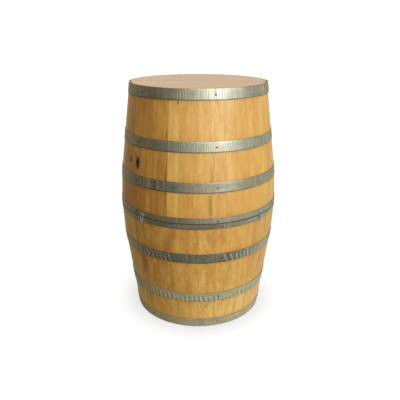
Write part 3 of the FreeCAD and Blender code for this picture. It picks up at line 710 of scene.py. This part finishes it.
def stave(half, number, start, end, replaced, materials, rng):
    """One half stave, with eased edges and a slightly uneven face."""
    is_upper = half == "upper"
    tip = HEIGHT if is_upper else 0.0
    cut = CUT_HEIGHT + (CUT_GAP / 2 if is_upper else -CUT_GAP / 2)
    length = abs(cut - tip)
    width = (end - start) * DEGREE * BILGE_RADIUS
    fine = has_knot(half, start, end)
    from_end = rows_along(length, FINE_STEP if fine else ROW_STEP)
    height = tip + from_end * (-1 if is_upper else 1)
    across = spread_between(0, width, FINE_STEP if fine else COLUMN_STEP, ARRIS[0])
    inset = SIDE_GAP + across * (1 - 2 * SIDE_GAP / width)
    z, a = np.meshgrid(height, start + inset / BILGE_RADIUS / DEGREE, indexing="ij")
    rows, columns = z.shape

    # The outside and the inside, each with its rounded edges and its unevenness.
    surface = outer_radius(z)
    edge = np.minimum(across, width - across)
    drop = np.interp(edge, *ARRIS)
    fields, knot, dent = mark_fields(half, a, z, surface)
    swell = unevenness(BROAD_SWELL, a, surface, z, number)
    swell += unevenness(FINE_SWELL, a, surface, z, number)
    lift = rng.uniform(*STAVE_LIFT) * MM
    end_drop = np.interp(from_end, *CHIME_ARRIS) + np.interp(length - from_end, *CUT_ARRIS)
    outer = surface + swell + lift - drop - end_drop[:, None] - dent
    wall = np.interp(from_end, WALL_PLACES, WALL) - np.interp(from_end, *INNER_ARRIS)
    rough = unevenness(ROUGH_INSIDE, a, INSIDE_RADIUS, z, number)
    inner = surface - wall[:, None] + drop / 2 + rough

    azimuths, heights = there_and_back(a), there_and_back(z)
    radii = there_and_back(outer, inner)
    faces, indices = stave_faces(from_end, columns)
    if is_upper:
        faces = [face[::-1] for face in faces]
    name = f"{half}_stave_{number:02d}"
    points = turned(azimuths, radii, heights)
    piece = new_piece(name, half, points, faces, replaced, materials, indices)

    # What its materials read. Each stave has its own stretch of the grain.
    from_middle = (azimuths - (start + end) / 2) * DEGREE * BILGE_RADIUS
    board = np.stack([from_middle, outer_radius(heights) - radii, heights], -1)
    seed = number + (0 if is_upper else LOWER_STAVES)
    # A stave's given darkness, painted shade round the left side included.
    tone = STAVE_TONES_AND_SHADE[half].get(number - 1, rng.uniform(-TONE_SPREAD, TONE_SPREAD))
    by_height = tone + np.interp(height, *TONE_AND_LIGHT_BY_HEIGHT)
    worn = np.interp(height, *WEAR_BY_HEIGHT)[:, None]
    # Darker along the cut, and painted shade with some dirt beside each hoop, both laid on with the first
    # kind of mark.
    darkening = smooth_step(from_end, length - SEAM_DARK, length - SEAM_DARK / 2)
    darkening = np.maximum(darkening, HOOP_SHADE * by_hoops(half, height))
    fields["stain_and_shade"] = np.maximum(fields["stain_and_shade"], darkening[:, None])
    blank = np.zeros(a.shape)
    store(
        piece,
        board=board + seed * np.array(NEXT_STAVE),
        tone=np.repeat(by_height[:, None], 2 * columns, 1),
        worn=worn * np.interp(np.abs(turn_to(azimuths, WORN_SIDE)), *WEAR_ROUND),
        edge=np.tile(np.concatenate([edge, edge[::-1]]), (rows, 1)),
        knot=there_and_back(knot, np.full(a.shape, NO_KNOT)),
        **{kind: there_and_back(fields[kind], blank) for kind in KINDS},
    )


def staves():
    """Both halves' staves. The lower half was put back a little way round from the upper."""
    materials = (outer_oak(), inner_oak(), end_oak())
    rng = np.random.default_rng(11)
    widths = [*STAVE_WIDTHS, 360 - sum(STAVE_WIDTHS)]
    for half in HALVES:
        start = FIRST_JOINT + (LOWER_TURN if half == "lower" else 0)
        for number, width in enumerate(widths, 1):
            node = f"{half}_staves_{(number + 1) // 2:02d}"
            stave(half, number, start, start + width, node, materials, rng)
            start += width


# ---- hoops ----
# Each hoop's hammer marks: the azimuths that they run between, their depth and pitch in mm, the share
# of the hoop's width that they cover, up from its lower edge, their slant in pitches, and how strongly
# they are painted light in a mark and dark between two: partly polished steel, partly painted highlights and
# shade.

DENTS = {
    "upper_chime": ((-16, -7, 0.2, 9.5, 1, -0.35, 1.5), (-1, 34, 0.17, 9.5, 1, -0.35, 0.9)),
    "upper_quarter": ((-16, 30, 0.14, 9, 1, 0.3, 0.7), (190, 240, 0.5, 19.5, 0.5, 0.2, 0.5)),
    "upper_bilge": ((-12, 40, 0.10, 9, 1, 0.3, 0.3), (80, 150, 0.5, 19.5, 0.5, 0.2, 0.5)),
    "lower_bilge": (
        (-50, -19, 1, 19.5, 1, 0.45, 1.8),
        (17, 50, 0.65, 19.5, 1, 0.4, 1.1),
        (150, 210, 0.8, 19.5, 1, 0.4, 0.8),
    ),
    "lower_quarter": (
        (-54, -18, 0.9, 18.5, 0.8, 0.3, 1.5),
        (-18, 50, 0.9, 18.5, 0.7, 0.08, 1),
        (120, 190, 0.9, 18.5, 0.7, 0.1, 0.9),
    ),
    "lower_chime": ((-15, 40, 0.4, 19.5, 0.6, 0.1, 0.4),),
}
# The kinds of strip: the hoops of it, two colours, roughness, how metallic it is, streaks, and how much
# painted sheen pales it away from its front.
STRIPS = {
    "light": (
        ("upper_chime", "upper_quarter", "upper_seam"),
        (166, 163, 140), (142, 138, 114), 0.22, 0.9, 0.5, 0,
    ),
    "mid": (("upper_bilge",), (150, 147, 124), (126, 122, 99), 0.24, 0.9, 0.4, 0.25),
    "dark": (("lower_bilge", "lower_seam"), (126, 122, 98), (98, 94, 71), 0.30, 0.8, 0.16, 0.68),
    "dull": (("lower_quarter", "lower_chime"), (178, 169, 132), (156, 146, 106), 0.42, 0.4, 0.2, 0.28),
}
DEEPEST_DENT = 1.1 * MM
MOST_BEHIND = 0.8 * HOOP_PLAY  # the deepest dent in the strip's back
RAMP_LENGTH = 26 * MM
RAMP_END = 0.2  # how far before the strip's start the ramp is at its height, in degrees
LAP_CLEARANCE = 0.02  # the gap under the strip's end, in thicknesses
HOOP_ARRIS = MM * np.array([(0, 0.12, 0.42), (0.34, 0.10, 0)])
HOOP_ROWS = 8  # between one edge's rounding and the other's
COLUMNS_PER_DEGREE = 3
LEAST_STRIP = 0.5 * MM
FLOOR_PLAY = 0.2 * MM
# The paleness round the back is painted sheen.
SHEEN_AZIMUTHS = (18, 62)  # the azimuths over which the strip turns pale on its way round the back
FADE = 4  # half the degrees over which hammer marks begin and end
WANDER = 0.55  # how far the marks wander from an even pitch, in pitches
BLOW_SHARPNESS = 1.6
COVER_FADE = (0.25, -0.35)  # where the marks fade out, in shares of the width from what they cover
# How a mark's depth and its painted light and dark, partly polished steel, follow the noise: their middle,
# swing, least and most.
BLOW_DEPTH = (0.8, 0.7, 0.2, 1.3)
BLOW_POLISH_AND_GLINT = (0.85, 1, 0, 1.3)
STRIP_SWELL = 0.10 * MM
WAVY_EDGE = 0.25 * MM
EDGE_SHARE = 0.12  # the share of the width beside each edge that goes with its waves
# How many swings of the noise there are to a metre of strip, and over its width.
UNEVEN_SWINGS = (15, 0.9)
BLOW_SWINGS = (38, 1.4)
SWELL_SWINGS = (14, 0.8)
WAVY_SWINGS = (30, 0.2)
TIP_EASE = 0.8 * MM  # the length over which the strip's ends are eased, and their drop
TIP_DROP = 0.5 * MM
NEXT_STRIP = (3.3, 0, 0.5)  # how far away in the steel's pattern the next hoop is


def lap_azimuth(node):
    """The azimuth of a hoop's lap, the middle of what stands out past one thickness."""
    points = np.array([vertex.co for vertex in frame["nodes"][node].data.vertices])
    radius = np.hypot(points[:, 0], points[:, 1])
    second = radius > outer_radius(points[:, 2]) + HOOP_PLAY + 1.7 * HOOP_THICKNESS
    middle = points[second].mean(0)
    return math.degrees(math.atan2(middle[0], -middle[1]))


def followed(force, middle, swing, least, most):
    return np.clip(middle + swing * force, least, most)


def hammering(label, azimuth, share, along):
    """How far hammer marks push a hoop in, and how light or dark it is painted, partly polished steel and
    partly painted highlight: 1 in a mark, -1 between two.

    Share is how far up the strip's width a point is, and along is its length from the start.
    """
    depth = np.zeros(azimuth.shape)
    polish_and_glint = np.zeros(azimuth.shape)
    uneven = flat_waves(along, share, UNEVEN_SWINGS, 0, 5)
    force = flat_waves(along, share, BLOW_SWINGS, 1, 9)
    for first, last, deepest, pitch, cover, slant, shine in DENTS.get(label, ()):
        near = turn_to(azimuth, (first + last) / 2) + (first + last) / 2
        window = smooth_step(near, first - FADE, first + FADE) * smooth_step(near, last + FADE, last - FADE)
        window = window * smooth_step(share - cover, *COVER_FADE)
        swing = np.sin(2 * math.pi * (along / (pitch * MM) + slant * share + WANDER * uneven))
        pressed = (0.5 + 0.5 * swing) ** BLOW_SHARPNESS
        depth += deepest * MM * window * pressed * followed(force, *BLOW_DEPTH)
        polish_and_glint += window * shine * swing * followed(force, *BLOW_POLISH_AND_GLINT)
    return depth, polish_and_glint


def hoop(half, name, material, seed):
    """One hoop: a strip that climbs over its own start and ends on top of it."""
    label = f"{half}_{name}"
    node = f"{label}_hoop"
    low, high = (corner.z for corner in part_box(node))
    tall = high - low
    lap = lap_azimuth(node)
    radius = float(outer_radius(low))
    lap_turn = LAP_LENGTH / radius / DEGREE
    start = lap - lap_turn / 2
    turn = 360 + lap_turn
    azimuth = start + turn * np.linspace(0, 1, int(turn * COLUMNS_PER_DEGREE))
    # The strip lies on the staves, rises just before its start and goes on over it.
    ramp = RAMP_LENGTH / radius / DEGREE
    layer = smooth_step(azimuth, start + 360 - ramp, start + 360 - RAMP_END)[:, None] * (1 + LAP_CLEARANCE)

    up = spread_between(0, tall, tall / HOOP_ROWS, HOOP_ARRIS[0])
    a, h = np.meshgrid(azimuth, up, indexing="ij")
    along = (a - start) * DEGREE * radius
    share = h / tall
    edge = np.minimum(h, tall - h)
    drops = np.interp(edge, *HOOP_ARRIS)
    dent, blow_glint = (field * (layer < 0.01) for field in hammering(label, a, share, along))
    swell = STRIP_SWELL * flat_waves(along, share, SWELL_SWINGS, seed, seed)
    base = outer_radius(low) + (outer_radius(high) - outer_radius(low)) * share + HOOP_PLAY
    inner = base + HOOP_THICKNESS * layer - np.minimum(dent, MOST_BEHIND)
    outer = base + HOOP_THICKNESS * (1 + layer) - drops - np.minimum(dent + swell, DEEPEST_DENT)
    inner = np.minimum(inner + drops, outer - LEAST_STRIP)
    # The ends of the strip are eased, and its wavy edge is where a hammer drove it.
    tip = np.minimum(along, along.max() - along)
    outer = outer - TIP_DROP * smooth_step(tip, TIP_EASE, 0)
    wavy = WAVY_EDGE * flat_waves(along, share, WAVY_SWINGS, seed + 3, seed)
    z = low + h + wavy * (smooth_step(share, EDGE_SHARE, 0) - smooth_step(share, 1 - EDGE_SHARE, 1))
    z = np.clip(z, cad_box[0].z + FLOOR_PLAY, cad_box[1].z)

    points = turned(there_and_back(a), there_and_back(outer, inner), there_and_back(z))
    faces = capped_faces(*points.shape[:2])
    piece = new_piece(f"{node}_strip", half, points, faces, node, [material])
    strip = np.stack([along, h, np.zeros(h.shape)], -1) + seed * np.array(NEXT_STRIP)
    store(
        piece,
        strip=there_and_back(strip),
        edge=there_and_back(edge),
        # The dent field holds the hammer marks' light and dark, partly polished steel and partly painted
        # highlights and shade.
        dent=there_and_back(blow_glint, np.zeros(blow_glint.shape)),
        # Where the painted sheen pales the strip.
        behind=there_and_back(smooth_step(np.abs(turn_to(a, 0)), *SHEEN_AZIMUTHS)),
    )
    return half, low, high, lap


def hoops():
    """All eight hoops, each of its own kind of strip."""
    steels = {}
    for kind, (labels, *look) in STRIPS.items():
        steels |= dict.fromkeys(labels, hoop_steel(f"hoop_zinc_{kind}", *look))
    every = [(half, name) for half in HALVES for name in HOOPS]
    return [hoop(half, name, steels[f"{half}_{name}"], seed) for seed, (half, name) in enumerate(every, 1)]


# ---- fastenings ----

# The head's radius and height, the shank's radius and length, and the point's radius.
NAIL = (3.3 * MM, 0.9 * MM, 1.1 * MM, 14 * MM, 0.4 * MM)
RIVET = (4.2 * MM, 2.2 * MM, 2.4 * MM, 2 * HOOP_THICKNESS, 2.0 * MM)
NAIL_SEGMENTS = 20
RIVET_SEGMENTS = 28
NAIL_DROP = MM  # how far below the middle of a hoop its nails are
DOME_ANGLES = np.linspace(0.08, math.pi / 2 - 0.12, 8)  # from near a head's top to near its rim
DOME_CURVE = 0.8
SHANK_SHARE = 0.8  # the share of the length at which the point begins


def dome(head_radius, head_height, shank_radius, length, point_radius):
    """Half of a nail's or rivet's outline: a rounded head, the shank and its point."""
    head = [(head_radius * math.sin(a), -head_height * math.cos(a) ** DOME_CURVE) for a in DOME_ANGLES]
    shank = [(shank_radius, 0), (shank_radius, length * SHANK_SHARE)]
    return [*head, (head_radius, 0), *shank, (point_radius, length)]


def lathe(profile, segments):
    """Points and faces of a small turned part along Y, its head towards -Y."""
    angle = np.linspace(0, 2 * math.pi, segments, endpoint=False)
    radius, along = np.array(profile, float).T[..., None]
    points = np.stack([radius * np.cos(angle), along + 0 * angle, radius * np.sin(angle)], -1)
    return points.reshape(-1, 3), capped_faces(len(profile), segments)


def many(half, kind, shape, places, material):
    """One piece of many copies of a small part."""
    points, faces = shape
    copies = [placed(points, *place) for place in places]
    every = [tuple(index + n * len(points) for index in face) for n in range(len(copies)) for face in faces]
    new_piece(f"{half}_{kind}", half, copies, every, f"{half}_hoop_{kind}", [material])


def nail_places(low, high, turn):
    """Where the nails go round a hoop that lies between two heights."""
    level = (low + high) / 2 - NAIL_DROP
    out = float(outer_radius(level)) + HOOP_PLAY + HOOP_THICKNESS
    azimuths = [FIRST_NAIL + turn + number * 360 / NAILS_PER_HOOP for number in range(NAILS_PER_HOOP)]
    return [(azimuth, out, level, lean_of(level)) for azimuth in azimuths]


def rivet_places(low, high, lap):
    """Where the two rivets go through a hoop's lap."""
    level = (low + high) / 2
    out = float(outer_radius(level)) + HOOP_PLAY + 2 * HOOP_THICKNESS
    spread = RIVET_SPACING / out / DEGREE
    return [(lap + side * spread, out, level, lean_of(level)) for side in (-0.5, 0.5)]


def fastenings(placed_hoops):
    """The nails through the hoops and the rivets through their laps."""
    nail_steel = plain_steel("nail_iron", (92, 64, 40), (52, 34, 20), 0.42)
    rivet_steel = plain_steel("rivet_zinc", (170, 170, 150), (112, 110, 88), 0.32)
    nail = lathe(dome(*NAIL), NAIL_SEGMENTS)
    rivet = lathe(dome(*RIVET), RIVET_SEGMENTS)
    for half in HALVES:
        nails, rivets = [], []
        turn = LOWER_TURN if half == "lower" else 0
        for where, low, high, lap in placed_hoops:
            if where == half:
                nails += nail_places(low, high, turn)
                rivets += rivet_places(low, high, lap)
        many(half, "nails", nail, nails, nail_steel)
        many(half, "rivets", rivet, rivets, rivet_steel)


# ---- heads and tabletop ----

HEAD_STEP = 8 * MM
HEAD_STEPS = 61
HEAD_ARRIS = MM * np.array([(0, 0.6, 1.5), (0.5, 0.12, 0)])
HOLLOWS = 0.15 * MM  # the depth of the hollows in a head board's faces
HOLLOW_SWINGS = (40, 9)
NEXT_BOARD = (1, 0.4, 1.7)  # how far away in the grain the next head board was cut
LOWER_BOARDS = 10  # how many boards further away the lower head's were cut
# The tabletop's rounded rim, as distances in from its radius and drops, from the top's edge down.
TOP_RIM = ((1.2 * MM, 0), (0.4 * MM, 0.25 * MM), (0.1 * MM, 0.9 * MM))
TOP_FOOT = 0.6 * MM  # the bevel under its rim
TOP_RINGS = 24
TOP_SEGMENTS = 180
TOP_CENTRE = 0.02  # the share of the radius at which its rings end in a flat face
UNDER_RING = 0.6  # the same for the one ring under it


def head_board(half, number, left, right, rim, material):
    """One board of a head, bevelled round the rim and eased at the joints."""
    node = f"{half}_head_boards"
    low, high = (corner.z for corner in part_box(node))
    seed = number + (LOWER_BOARDS if half == "lower" else 0)
    edge_radius = rim + CROZE_DEPTH - 2 * HEAD_PLAY
    tongue = CROZE_WIDTH / 2 - HEAD_PLAY
    left, right = max(left, -edge_radius + MM), min(right, edge_radius - MM)
    x = spread_between(left + SIDE_GAP, right - SIDE_GAP, HEAD_STEP, HEAD_ARRIS[0])[:, None]
    y = np.sqrt(edge_radius**2 - x**2) * np.sin(np.linspace(-1, 1, HEAD_STEPS) * math.pi / 2)
    x = x + 0 * y
    radii = (rim - HEAD_BEVEL, rim - MM, edge_radius)
    half_thick = np.interp(np.hypot(x, y), radii, ((high - low) / 2, tongue, tongue - 0.2 * MM))
    wave = HOLLOWS * flat_waves(x, y, HOLLOW_SWINGS, seed, seed)
    half_thick += np.minimum(wave, 0) - np.interp(np.minimum(x - left, right - x), *HEAD_ARRIS)
    z = (low + high) / 2 + there_and_back(half_thick, -half_thick)
    x, y = there_and_back(x), there_and_back(y)

    name = f"{half}_head_board_{number}"
    points = np.stack([x, y, z], -1)
    faces = slab_faces(len(x), HEAD_STEPS)
    piece = new_piece(name, half, points, faces, node, [material])
    store(piece, board=np.stack([x, z, y], -1) + seed * np.array(NEXT_BOARD))


def heads():
    """Six boards to each head, run together with hidden dowels."""
    edges = (-1.0, *BOARD_JOINTS, 1.0)
    material = head_oak()
    for half, croze in (("upper", HEIGHT - CROZE_MIDDLE), ("lower", CROZE_MIDDLE)):
        rim = float(outer_radius(croze)) - STAVE_THICKNESS
        for number, (left, right) in enumerate(zip(edges, edges[1:]), 1):
            head_board(half, number, left, right, rim, material)


def tabletop():
    """The round top: a coned disc with an eased rim, its grain from side to side."""
    low, high = (corner.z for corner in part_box("tabletop"))
    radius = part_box("tabletop")[1].x
    foot = radius - (high - low) * (STAVE_THICKNESS - CHIME_FACE) / CHIME_BEVEL
    flat = radius - TOP_RIM[0][0]
    profile = np.array([
        *((share * flat, high) for share in np.linspace(TOP_CENTRE, 1, TOP_RINGS)[:-1]),
        *((radius - inset, high - drop) for inset, drop in TOP_RIM),
        (foot, low + TOP_FOOT),
        (foot - TOP_FOOT, low),
        (foot * UNDER_RING, low),
        (foot * TOP_CENTRE, low),
    ])
    azimuth = np.linspace(0, 360, TOP_SEGMENTS, endpoint=False)
    points = turned(azimuth, profile[:, :1], profile[:, 1:])
    faces = capped_faces(len(profile), TOP_SEGMENTS)
    wood = [top_wood()]
    piece = new_piece("round_tabletop", "upper", points, faces, "tabletop", wood)
    store(piece, board=points[..., [1, 2, 0]])


# ---- CAD pieces that keep their shape ----


def soften(piece, width):
    """Round a CAD piece's sharp edges a little."""
    weld = piece.modifiers.new("weld", "WELD")
    weld.merge_threshold = 0.01 * MM
    bevel = piece.modifiers.new("eased", "BEVEL")
    bevel.width = width
    bevel.segments = 2
    bevel.limit_method = "ANGLE"
    bevel.angle_limit = 40 * DEGREE


def dress_cad():
    """Materials and eased edges for the CAD pieces that stay as they are."""
    zinc = plain_steel("latch_zinc", (188, 197, 208), (146, 156, 168), 0.28, metal=0.8)
    screw = plain_steel("screw_zinc", (150, 150, 140), (96, 94, 84), 0.32)
    oak = hidden_oak()
    for name, piece in frame["nodes"].items():
        if piece.hide_render:
            continue
        if "dowel" in name or "batten" in name:
            material, width = oak, 0.4 * MM
        elif "screws" in name:
            material, width = screw, 0.1 * MM
        else:
            material, width = zinc, 0.22 * MM
        piece.data.materials.clear()
        piece.data.materials.append(material)
        if "loop" not in name and "pins" not in name:
            soften(piece, width)


# ---- floor, light and camera ----

LIGHT_SIDE = 95  # the azimuth of the studio's brighter side
DIM_AIR = (0.17, 0.135, 0.085, 1)
LIGHT_AIR = (0.48, 0.47, 0.43, 1)
FAR_AIR = (0.56, 0.525, 0.42, 1)
BACKDROP = (1.05, 1.05, 1.05, 1)
WHITE = (1, 1, 1)
COOL = (0.92, 0.96, 1.1)
# Each light's azimuth, elevation, width in degrees, strength and colour, and whether it is there for
# the hoops and shows in gloss alone.
LIGHTS = {
    "key": (31, 34, 56, 2.55, WHITE, False),
    "overhead": (0, 88, 80, 1.9, WHITE, False),
    "softbox": (31, 20, 48, 0.9, COOL, True),
    "strip light": (42, 14, 26, 0.7, COOL, True),
    "low light": (-17, 18, 10, 0.26, WHITE, True),
    "side light": (104, -12, 70, 0.3, WHITE, True),
}

FLOOR_REACH = 400.0
FLOOR_DROP = 0.3 * MM

CAMERA_PLACE = (0, -1.887, 1.143)
LOOK_DOWN = 20.17
LENS = 42.2
SHIFT = 0.0045


def floor():
    """A white floor that glows, with a painted shadow from ambient occlusion that darkens it softly close to
    the barrel.
    """
    paint = Paint("floor_white")
    # Painted shadow: the glow is dimmed where ambient occlusion finds the barrel close by.
    ao_for_painted_shadow = paint.node("ShaderNodeAmbientOcclusion", {"Distance": 0.16}, samples=16).outputs["AO"]
    material = paint.done(
        base_color=(0.1, 0.1, 0.1, 1),
        roughness=0.9,
        emission_color=(1, 1, 1, 1),
        emission_strength=paint.between(ao_for_painted_shadow, 0.2, 1.0, 0.6, 0.9),
    )
    mesh = bpy.data.meshes.new("floor")
    level = cad_box[0].z - FLOOR_DROP
    corners = [(x * FLOOR_REACH, y * FLOOR_REACH, level) for x, y in ((-1, -1), (1, -1), (1, 1), (-1, 1))]
    mesh.from_pydata(corners, [], [(0, 1, 2, 3)])
    mesh.materials.append(material)
    plane = new_object("floor", mesh)
    # It glows and is lit far brighter than the barrel, so it isn't let light the barrel in turn.
    plane.visible_diffuse = False
    plane.visible_glossy = False
    plane.visible_shadow = False


def sun(name, azimuth, elevation, width, strength, tint, in_gloss_only):
    """A broad soft light from one side."""
    data = bpy.data.lights.new(name, "SUN")
    data.energy = strength
    data.angle = width * DEGREE
    data.color = tint
    light = new_object(name, data)
    light.visible_diffuse = not in_gloss_only
    towards = Vector(turned(azimuth, math.cos(elevation * DEGREE), math.sin(elevation * DEGREE)))
    light.rotation_mode = "QUATERNION"
    light.rotation_quaternion = towards.to_track_quat("Z", "Y")


def world():
    """A studio with a white backdrop, lighter on the barrel's right and warmer on its left."""
    made = bpy.data.worlds.new("studio")
    bpy.context.scene.world = made
    made.use_nodes = True
    sky = Nodes(made.node_tree)
    place = sky.node("ShaderNodeTexCoord").outputs["Generated"]

    def facing(direction, low, high):
        """How far the sky's direction faces another, from 0 to 1."""
        return sky.between(sky.vector_math("DOT_PRODUCT", place, direction).outputs["Value"], low, high)

    air = sky.mix(facing(turned(LIGHT_SIDE, 1, 0.1), -0.8, 1.0), DIM_AIR, LIGHT_AIR)
    air = sky.mix(facing((0, 1, 0), 0.05, 0.9), air, FAR_AIR)
    seen = sky.node("ShaderNodeLightPath").outputs["Is Camera Ray"]
    sky.feed(sky.tree.nodes["Background"].inputs["Color"], sky.mix(seen, air, BACKDROP))


def camera():
    """From in front and a little above, looking down at the barrel."""
    data = bpy.data.cameras.new("camera")
    data.lens = LENS
    data.sensor_width = 36
    data.shift_x = SHIFT
    eye = new_object("camera", data)
    eye.location = CAMERA_PLACE
    eye.rotation_euler = ((90 - LOOK_DOWN) * DEGREE, 0, 0)
    bpy.context.scene.camera = eye


camera()
floor()
world()
for label, settings in LIGHTS.items():
    sun(label, *settings)
bpy.context.scene.view_settings.view_transform = "Standard"

staves()
fastenings(hoops())
heads()
tabletop()
dress_cad()
